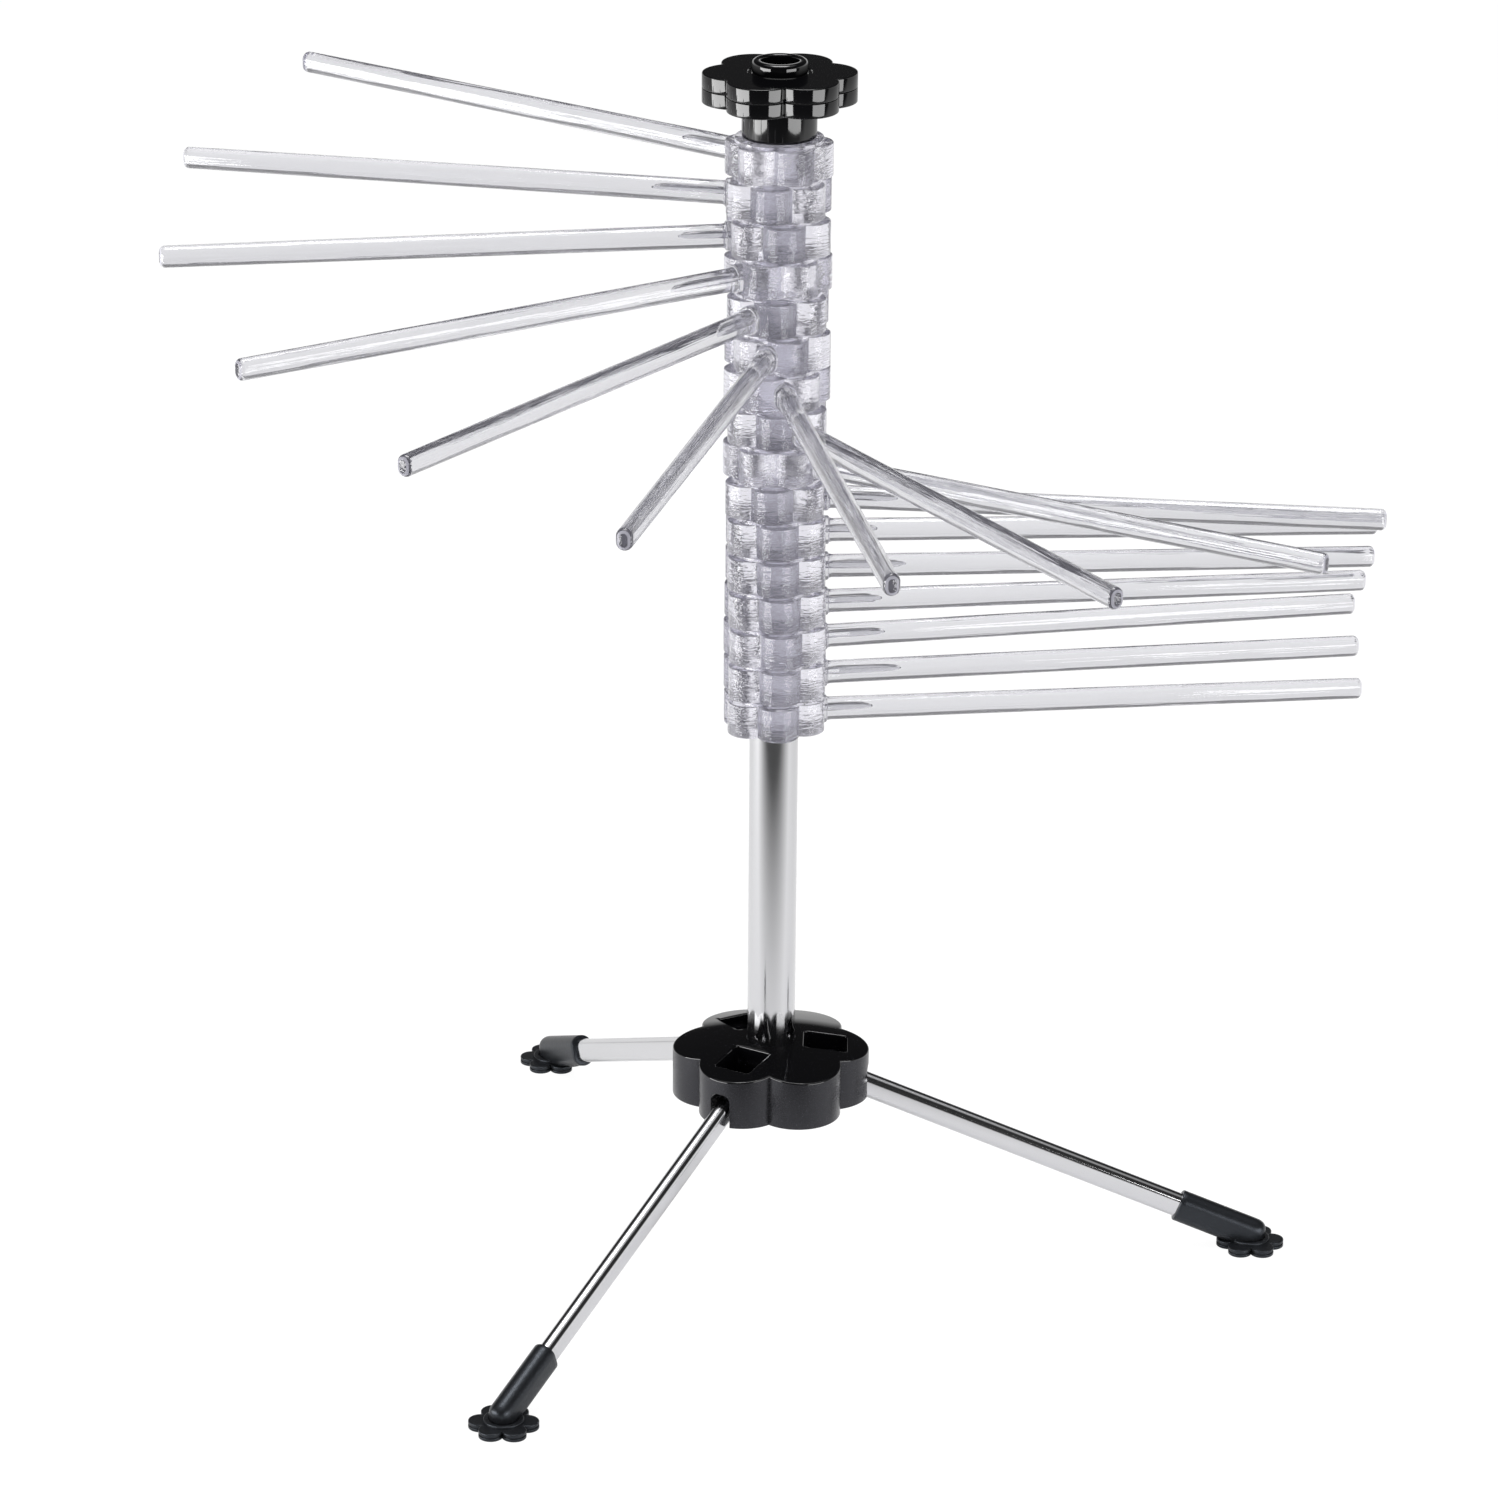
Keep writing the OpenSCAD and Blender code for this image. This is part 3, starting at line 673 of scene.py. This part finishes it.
class RACK_OT_column(bpy.types.Operator):
    """Builds the polished steel column as a thin-walled tube with the stop ring's groove"""

    bl_idname = "rack.column"
    bl_label = "Column"

    def execute(self, context):
        wall, edge, groove, slack = 1.0 * MM, 0.2 * MM, 0.4 * MM, 0.06 * MM
        low, high = span("column_tube")
        left, right = span("column_tube", 0)
        radius = (right - left) / 2
        ring_low, ring_high = span("stop_ring")
        groove_low, groove_high = ring_low - slack, ring_high + slack
        rings = round_band(radius, low, groove_low, edge, 0.0)
        rings += round_band(radius - groove, groove_low, groove_high, 0.0, 0.0)
        rings += round_band(radius, groove_high, high, 0.0, edge)
        rings += round_rings((radius - wall, high), (radius - wall, low))
        points, quads = revolve(rings, around(160))
        tube = make_object("column_steel", shell(points, quads), [material_for("steel")])
        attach(tube, "stand")
        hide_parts("column_tube")
        return {"FINISHED"}


def knob_rings(size):
    """Rings of the knob's lower half, a neck under a lobed rim with a spigot on top, and of its
    upper half, a lobed rim with a groove round a hollow boss."""
    neck_z, spigot_z = span("knob_body")
    rim_z = neck_z + size.neck_height
    part_z = rim_z + size.low_height
    rim_top = part_z + size.high_height
    boss_top = span("knob_cap")[1]
    screw, bore = 3.1 * MM, span("column_tube", 0)[1] + 0.1 * MM
    socket_z = span("column_tube")[1] + 0.3 * MM
    lower = round_band(size.neck, neck_z, rim_z, 0.4 * MM, 0.0)
    lower += lobed_band(size.lobe_circle, size.lobe, rim_z, part_z, size.edge, size.edge)
    lower += round_rings(
        (size.spigot, part_z),
        (size.spigot, spigot_z),
        (screw, spigot_z),
        (screw, socket_z),
        (bore, socket_z),
        (bore, neck_z),
    )
    slope, depth, shallow, lip = 0.25 * MM, 0.35 * MM, 0.1 * MM, 0.8 * MM
    seat = size.spigot + 0.05 * MM
    upper = lobed_band(size.lobe_circle, size.lobe, part_z, rim_top, size.edge, size.edge)
    upper += round_rings(
        (size.groove, rim_top),
        (size.groove - slope, rim_top - depth),
        (size.boss + slope, rim_top - depth),
        (size.boss, rim_top - shallow),
    )
    upper += round_band(size.boss, rim_top, boss_top, 0.0, size.boss_edge)
    upper += [(0.0, size.hole + inset, boss_top - rise) for inset, rise in edge_arc(lip)]
    upper += round_rings((size.hole, spigot_z), (seat, spigot_z), (seat, part_z))
    return lower, upper


class RACK_OT_knob(bpy.types.Operator):
    """Builds the knob's two glossy halves: a neck under a lobed rim, and a rim with a round boss"""

    bl_idname = "rack.knob"
    bl_label = "Knob"

    def execute(self, context):
        lower, upper = knob_rings(context.scene.rack_knob)
        turn = lobe_direction("knob_cap")
        for name, node, rings in (
            ("knob_lower_half", "knob_body", lower),
            ("knob_upper_half", "knob_cap", upper),
        ):
            points, quads = revolve(rings, around(240))
            part = shell(turned(points, turn), quads)
            piece = make_object(name, part, [material_for("gloss")])
            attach(piece, "knob")
            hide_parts(node)
        return {"FINISHED"}


# Base


def dome_height(size, top, radius):
    """Height of the base's domed top at a radius from the axis: part of a sphere of the radius
    (reach^2 + crown^2) / (2 * crown), which falls by the crown from the middle to the reach."""
    reach = size.lobe_circle + size.lobe
    sphere = (reach**2 + size.crown**2) / (2 * size.crown)
    return top - sphere + np.sqrt(sphere**2 - radius**2)


def base_shell(size, low, top):
    """The base as one closed surface round its socket: a lobed wall, a rounded edge and the domed
    top, and underneath the recess for the cover plate."""
    theta = around(288)
    circle, lobe, socket = size.lobe_circle, size.lobe, size.socket
    cover_inset, cover_z, screw = 1.95 * MM, low + 2.0 * MM, 3.05 * MM
    foot_edge, foot_height = 0.4 * MM, 4 * MM
    flat_start, flat_end, socket_edge = 0.2 * MM, 0.6 * MM, 0.25 * MM
    socket_z = top - size.socket_depth

    def dome(drop=0.0):
        """The domed top's height, less a drop, as a function of the radius."""
        return lambda radius: dome_height(size, top, radius) - drop

    rings = [(circle, lobe - cover_inset, cover_z), (circle, lobe - cover_inset, low)]
    rings += lobed_band(circle, lobe, low, low + foot_height, foot_edge, 0.0)
    edge_start = len(rings)
    rings += [(circle, lobe - inset, dome(rise)) for inset, rise in reversed(edge_arc(size.edge))]
    rings.append((circle, lobe - size.edge - flat_start, dome()))
    # over the dome the lobes fade into a circle 1.5 mm outside the socket
    for share in np.linspace(0.1, 0.9, 7):
        inner = (lobe - size.edge) * (1 - share) + (socket + 1.5 * MM) * share
        rings.append((circle * (1 - share), inner, dome()))
    rings += round_rings((socket + flat_end, dome()), (socket + socket_edge, dome()))
    dome_rings = len(rings)
    rings += round_rings(
        (socket, dome(socket_edge)), (socket, socket_z), (screw, socket_z), (screw, cover_z)
    )
    points, quads = revolve(rings, theta)
    # glossy on the domed top and its edge, satin everywhere else
    row = quads.min(axis=1) // len(theta)
    glossy = (row >= edge_start) & (row < dome_rings - 1)
    faces = [list(map(int, q)) for q in quads]
    return points, faces, [GLOSS if face else SATIN for face in glossy]


def rounded_box(width, corner, x0, x1):
    """Outline of a box from x0 to x1 along +X with round corners, counter-clockwise."""
    t = np.linspace(0, math.pi / 2, 6)
    y, near, far = width / 2 - corner, x0 + corner, x1 - corner
    outline = []
    for k, (cx, cy) in enumerate(((far, y), (near, y), (near, -y), (far, -y))):
        a = t + k * math.pi / 2
        outline.append(np.stack([cx + corner * np.cos(a), cy + corner * np.sin(a)], axis=1))
    return np.concatenate(outline)


def pocket_cutter(size, low, top):
    """What a pocket takes out of the base along +X: a box with round corners that flares at the
    domed top, so that its rim catches the light."""
    flare, past, start, above = 0.6 * MM, 0.01 * MM, 2 * MM, 5 * MM
    outlines, heights = [], []
    for drop, grow in edge_arc(flare):
        outline = rounded_box(
            size.pocket_width + 2 * grow,
            size.pocket_corner + grow,
            size.pocket_in - grow,
            size.pocket_out + grow,
        )
        outlines.append(outline)
        heights.append(dome_height(size, top, reaches(outline)) - drop + past)
    outlines = [outlines[0]] + outlines + [outlines[-1]]
    heights = [np.full(len(outline), low + start)] + heights + [heights[-1] + above]
    return loft([np.column_stack(row) for row in zip(outlines, heights)])


def slot_cutter(size, low):
    """What a leg's slot takes out of the base's wall along +X: an arch seen from the leg's end,
    open downwards, from inside the pocket to outside the wall."""
    half, corner, past = size.slot_width / 2, size.slot_corner, 1 * MM
    t = np.linspace(0, math.pi / 2, 9)
    y = np.concatenate([half - corner + corner * np.cos(t), -half + corner - corner * np.sin(t)])
    z = np.concatenate([corner * np.sin(t), corner * np.cos(t)]) + size.slot_height - corner
    y = np.append(y, [-half, half])
    z = np.append(z, [-past, -past])
    ends = (size.pocket_out - past, size.lobe_circle + size.lobe + 2 * past)
    return loft([np.column_stack([np.full(len(y), x), y, z + low]) for x in ends])


class RACK_OT_base(bpy.types.Operator):
    """Builds the lobed base: glossy domed top, satin wall, and a pocket and a slot for each leg"""

    bl_idname = "rack.base"
    bl_label = "Base"

    def execute(self, context):
        size = context.scene.rack_base
        low, top = span("base_body")
        finishes = [material_for("gloss"), material_for("satin")]
        points, faces, marks = base_shell(size, low, top)
        part = (turned(points, far_direction("foot_1")), faces, marks)
        body = make_object("base_moulding", part, finishes)
        cutters = ((GLOSS, pocket_cutter(size, low, top)), (SATIN, slot_cutter(size, low)))
        for leg in LEGS:
            turn = far_direction("foot_%d" % leg)
            for mark, (points, quads, caps) in cutters:
                part = shell(turned(points, turn), quads, mark, caps)
                combine(body, make_object("base_cut_work", part, finishes), "DIFFERENCE")
        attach(body, "stand")
        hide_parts("base_body")
        return {"FINISHED"}


# Legs and feet


def leg_frame(size):
    """Slope and length of a leg: those of the line from its pivot to where it meets its foot."""
    run = size.foot_reach - size.pivot_reach
    drop = size.pivot_height - size.foot_joint
    return math.atan2(drop, run), math.hypot(run, drop)


def along_leg(points, size):
    """Points given along +X from the pivot, tilted down by the leg's slope and moved to the
    pivot."""
    slope, _ = leg_frame(size)
    c, s = math.cos(slope), math.sin(slope)
    x, y, z = points[:, 0], points[:, 1], points[:, 2]
    tilted = [c * x + s * z + size.pivot_reach, y, -s * x + c * z + size.pivot_height]
    return np.stack(tilted, axis=1)


def foot_sleeve(size):
    """The sleeve of a foot along +X, with a rounded mouth and toe, flat just above the floor."""
    _, reach = leg_frame(size)
    height = size.height + 2 * size.sleeve_wall
    width = size.width + 2 * size.sleeve_wall
    start, end = reach - size.sleeve, reach + 0.86 * size.toe
    dome, steps, power = 5.2 * MM, 9, 2.6
    mouth = ((0.0, 0.9 * MM), (0.12 * MM, 0.4 * MM), (0.45 * MM, 0.0))
    stations = [(start + x, height - less, width - less) for x, less in mouth]
    stations += [(x, height, width) for x in np.linspace(start + 2 * MM, end - 6 * MM, 6)]
    stations += dome_stations(end, height, width, dome, steps, power)
    points, quads, caps = oval_sweep(stations)
    points = along_leg(points, size)
    points[:, 2] = np.maximum(points[:, 2], 0.2 * MM)
    return shell(points, quads, 0, caps)


def foot_disc(size):
    """The petalled disc of a foot, with a groove round its side and a raised ring on top."""
    circle, petal, ring = size.petal_circle, size.petal, size.ring
    groove, groove_depth, pinhole = 0.5 * MM, 0.4 * MM, 0.5 * MM
    sole_edge, side_edge, top_edge = 0.3 * MM, 0.2 * MM, 0.4 * MM
    side = (size.disc - groove) / 2
    ring_top, dish = size.disc + size.ring_height, size.disc + 0.3 * MM
    rings = round_rings((pinhole, 0.0))
    rings += lobed_band(circle, petal, 0.0, side, sole_edge, side_edge)
    rings += lobed_band(circle, petal - groove_depth, side, side + groove, 0.0, 0.0)
    rings += lobed_band(circle, petal, side + groove, size.disc, side_edge, top_edge)
    rings += round_band(ring, size.disc, ring_top, 0.0, top_edge)
    rings += round_rings((ring - 1.6 * MM, ring_top), (ring - 2.0 * MM, dish), (pinhole, dish))
    points, quads = revolve(rings, around(144))
    points[:, 0] += size.foot_reach
    return shell(points, quads)


class RACK_OT_legs(bpy.types.Operator):
    """Builds the three oval steel legs and their rubber feet"""

    bl_idname = "rack.legs"
    bl_label = "Legs and feet"

    def execute(self, context):
        size = context.scene.rack_legs
        _, reach = leg_frame(size)
        lip = 0.15 * MM
        stations = [(size.tube_start, size.height - 2 * lip, size.width - 2 * lip)]
        for x in np.linspace(size.tube_start + lip, reach - size.toe, 12):
            stations.append((x, size.height, size.width))
        points, quads, caps = oval_sweep(stations)
        bar = shell(along_leg(points, size), quads, 0, caps)
        sleeve, disc = foot_sleeve(size), foot_disc(size)
        for leg in LEGS:
            turn = far_direction("foot_%d" % leg)
            tube_part, *foot_parts = (
                (turned(points, turn), faces, marks) for points, faces, marks in (bar, sleeve, disc)
            )
            tube = make_object("leg_%d_steel" % leg, tube_part, [material_for("steel")])
            shoe = join_parts(foot_parts)
            foot = make_object("foot_%d_rubber" % leg, shoe, [material_for("rubber")])
            body = "leg_%d" % leg
            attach(tube, body)
            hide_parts("leg_tube_%d" % leg)
            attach(foot, body)
            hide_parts("foot_%d" % leg)
        return {"FINISHED"}


class RACK_OT_fittings(bpy.types.Operator):
    """Gives the pins, screws, plugs, knuckles, stop ring and cover plate their finishes"""

    bl_idname = "rack.fittings"
    bl_label = "Fittings"

    def execute(self, context):
        steel = ["cover_screws", "column_foot_plug", "column_screw", "column_top_plug"]
        steel += ["knob_screw", "stop_ring"] + ["leg_pin_%d" % leg for leg in LEGS]
        satin = ["base_cover"] + ["leg_knuckle_%d" % leg for leg in LEGS]
        for names, key in ((steel, "steel"), (satin, "satin")):
            for name in names:
                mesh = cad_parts[name].data
                mesh.materials.clear()
                mesh.materials.append(material_for(key))
        return {"FINISHED"}


# Stage


def floor_material():
    """A white table: white to the camera and through the clear arms, with a trace of shadow; in
    polished metal it shows as a lit table that ends in the dark room towards the viewer."""
    material, tree = new_material("white_table")
    path = add_node(tree, "LightPath")
    rays = {0: path.outputs["Is Camera Ray"], 1: path.outputs["Is Transmission Ray"]}
    seen = add_node(tree, "Math", {"operation": "MAXIMUM"}, rays)
    place = add_node(tree, "TexCoord")
    split = add_node(tree, "SeparateXYZ", None, {0: place.outputs["Object"]})
    limits = {"From Min": -0.47, "From Max": -0.1, "To Min": 0.08, "To Max": 0.95}
    edge = add_node(tree, "MapRange", limits, {0: split.outputs["Y"]})
    grey = {channel: edge.outputs[0] for channel in ("Red", "Green", "Blue")}
    tint = add_node(tree, "CombineColor", None, grey)
    table = add_node(tree, "BsdfDiffuse", None, {0: tint.outputs[0]})
    lit = add_node(tree, "BsdfDiffuse", {"Color": WHITE})
    glow = add_node(tree, "Emission", {"Color": WHITE, "Strength": 1.08})
    links = {1: lit.outputs[0], 2: glow.outputs[0]}
    shown = add_node(tree, "MixShader", {0: 0.85}, links)
    links = {0: seen.outputs[0], 1: table.outputs[0], 2: shown.outputs[0]}
    mix = add_node(tree, "MixShader", None, links)
    add_node(tree, "OutputMaterial", None, {"Surface": mix.outputs[0]})
    return material


def light_world(level):
    """White to the camera and an even level for plain light. In reflections it is a dark room with
    a white backdrop low behind the rack and a bright ceiling; the clear arms bend the light of the
    same room, less dark and with bright sides, so that they stay clear with dark edges."""
    world = bpy.data.worlds.new("studio")
    world.use_nodes = True
    tree = world.node_tree
    tree.nodes.clear()
    place = add_node(tree, "TexCoord")
    split = add_node(tree, "SeparateXYZ", None, {0: place.outputs["Generated"]})
    across = add_node(tree, "Math", {"operation": "ABSOLUTE"}, {0: split.outputs["X"]})
    # each part of the room fades in or out between two values of the direction's coordinate
    names = ("From Min", "From Max", "To Min", "To Max")
    low, behind, ceiling, sides = (
        add_node(tree, "MapRange", dict(zip(names, values)), {0: source}).outputs[0]
        for source, *values in (
            (split.outputs["Z"], 0.15, 0.235, 1.0, 0.0),
            (split.outputs["Y"], -0.45, -0.05, 0.0, 1.0),
            (split.outputs["Z"], 0.78, 0.88, 0.0, 0.8),
            (across.outputs[0], 0.3, 0.55, 0.0, 1.2),
        )
    )
    backdrop = add_node(tree, "Math", {"operation": "MULTIPLY"}, {0: low, 1: behind})
    links = {0: backdrop.outputs[0], 1: ceiling}
    lit = add_node(tree, "Math", {"operation": "ADD"}, links)
    links = {0: lit.outputs[0], 1: sides}
    wide = add_node(tree, "Math", {"operation": "MAXIMUM"}, links)
    path = add_node(tree, "LightPath")
    even = add_node(tree, "Background", {"Color": WHITE, "Strength": level})
    white = add_node(tree, "Background", {"Color": WHITE, "Strength": 1.0})
    chosen = even
    for ray, dark, source in (("Is Glossy Ray", 0.03, lit), ("Is Transmission Ray", 0.2, wide)):
        limits = {"clamp": False, "To Min": dark, "To Max": 1.0}
        room = add_node(tree, "MapRange", limits, {0: source.outputs[0]})
        links = {"Strength": room.outputs[0]}
        shown = add_node(tree, "Background", {"Color": WHITE}, links)
        links = {0: path.outputs[ray], 1: chosen.outputs[0], 2: shown.outputs[0]}
        chosen = add_node(tree, "MixShader", None, links)
    links = {0: path.outputs["Is Camera Ray"], 1: chosen.outputs[0], 2: white.outputs[0]}
    seen = add_node(tree, "MixShader", None, links)
    add_node(tree, "OutputWorld", None, {"Surface": seen.outputs[0]})
    bpy.context.scene.world = world


def panel_light(name, place, target, width, height, radiance):
    """A rectangular softbox of that radiance that faces the target. Its power is
    radiance * pi * width * height."""
    data = bpy.data.lights.new(name, "AREA")
    data.shape = "RECTANGLE"
    data.size, data.size_y = width, height
    data.energy = radiance * math.pi * width * height
    light = bpy.data.objects.new(name, data)
    bpy.context.scene.collection.objects.link(light)
    light.location = place
    # the clear arms show the lamp as a reflection only
    light.visible_transmission = False
    direction = np.array(target) - np.array(place)
    yaw = math.atan2(direction[1], direction[0]) - math.pi / 2
    pitch = math.atan2(direction[2], math.hypot(direction[0], direction[1]))
    light.rotation_euler = (math.pi / 2 + pitch, 0.0, yaw)


def aim_camera(distance, height, pan, tilt, roll, focal):
    """The photograph's camera, in front of the column. It looks along +Y, turned to +X by pan,
    tipped down by tilt and rolled about its view, in radians; focal is in pixels of the fitted
    frame."""
    data = bpy.data.cameras.new("camera")
    data.sensor_width = SENSOR
    data.lens = SENSOR * focal / FRAME_PIXELS
    data.clip_start, data.clip_end = 0.05, 50.0
    camera = bpy.data.objects.new("camera", data)
    bpy.context.scene.collection.objects.link(camera)
    level = np.array([math.sin(pan), math.cos(pan), 0.0])
    forward = level * math.cos(tilt) + np.array([0.0, 0.0, -math.sin(tilt)])
    side = np.array([math.cos(pan), -math.sin(pan), 0.0])
    up = np.cross(side, forward)
    right = side * math.cos(roll) + up * math.sin(roll)
    top = -side * math.sin(roll) + up * math.cos(roll)
    matrix = np.eye(4)
    matrix[:3, 0], matrix[:3, 1], matrix[:3, 2] = right, top, -forward
    matrix[:3, 3] = (0.0, -distance, height)
    camera.matrix_world = Matrix(matrix.tolist())
    bpy.context.scene.camera = camera


class RACK_OT_stage(bpy.types.Operator):
    """Lays the white table, the studio light and the camera"""

    bl_idname = "rack.stage"
    bl_label = "Stage"

    def execute(self, context):
        half = 6.0
        corners = np.array([(-half, -half, 0), (half, -half, 0), (half, half, 0), (-half, half, 0)])
        floor = make_object("floor", (corners, [[0, 1, 2, 3]], [0]), [floor_material()])
        light_world(0.55)
        distance, lamp_height = 1.1, 0.2
        for name, azimuth, width, radiance in (
            ("softbox_left", 207.0, 1.0, 9.0),
            ("softbox_right", 318.0, 0.85, 5.5),
        ):
            a = math.radians(azimuth)
            place = (distance * math.cos(a), distance * math.sin(a), lamp_height)
            panel_light(name, place, (0.0, 0.0, lamp_height), width, 0.4, radiance)
        panel_light("softbox_top", (0.0, 0.1, 1.7), (0.0, 0.0, 0.0), 0.7, 0.7, 8.0)
        aim_camera(
            distance=2.08582, height=1.01288, pan=-0.00449, tilt=0.36947, roll=0.00773, focal=5889.2
        )
        context.scene.view_settings.view_transform = "Standard"
        return {"FINISHED"}


# Panel and run


class RACK_PT_panel(bpy.types.Panel):
    """Lists the rack's pieces, sizes and finishes"""

    bl_label = "Pasta drying rack"
    bl_idname = "RACK_PT_panel"
    bl_space_type = "VIEW_3D"
    bl_region_type = "UI"
    bl_category = "Rack"

    def draw(self, context):
        layout = self.layout
        for operator in OPERATORS:
            layout.operator(operator.bl_idname)
        for name, group in GROUPS:
            box = layout.box()
            box.label(text=group.__doc__)
            for key in group.__annotations__:
                box.prop(getattr(context.scene, name), key)


GROUPS = (
    ("rack_finish", RackFinish),
    ("rack_arms", RackArmSizes),
    ("rack_knob", RackKnobSizes),
    ("rack_base", RackBaseSizes),
    ("rack_legs", RackLegSizes),
)
OPERATORS = (
    RACK_OT_arms,
    RACK_OT_column,
    RACK_OT_knob,
    RACK_OT_base,
    RACK_OT_legs,
    RACK_OT_fittings,
    RACK_OT_stage,
)
CLASSES = [group for _, group in GROUPS] + list(OPERATORS) + [RACK_PT_panel]


def register():
    """Registers the classes and gives the scene its settings."""
    for cls in CLASSES:
        bpy.utils.register_class(cls)
    for name, group in GROUPS:
        setattr(bpy.types.Scene, name, bpy.props.PointerProperty(type=group))


def unregister():
    """Takes the settings and the classes away again."""
    for name, _ in GROUPS:
        delattr(bpy.types.Scene, name)
    for cls in reversed(CLASSES):
        bpy.utils.unregister_class(cls)


def main():
    register()
    for operator in OPERATORS:
        family, action = operator.bl_idname.split(".")
        getattr(getattr(bpy.ops, family), action)()


if __name__ == "__main__":
    main()
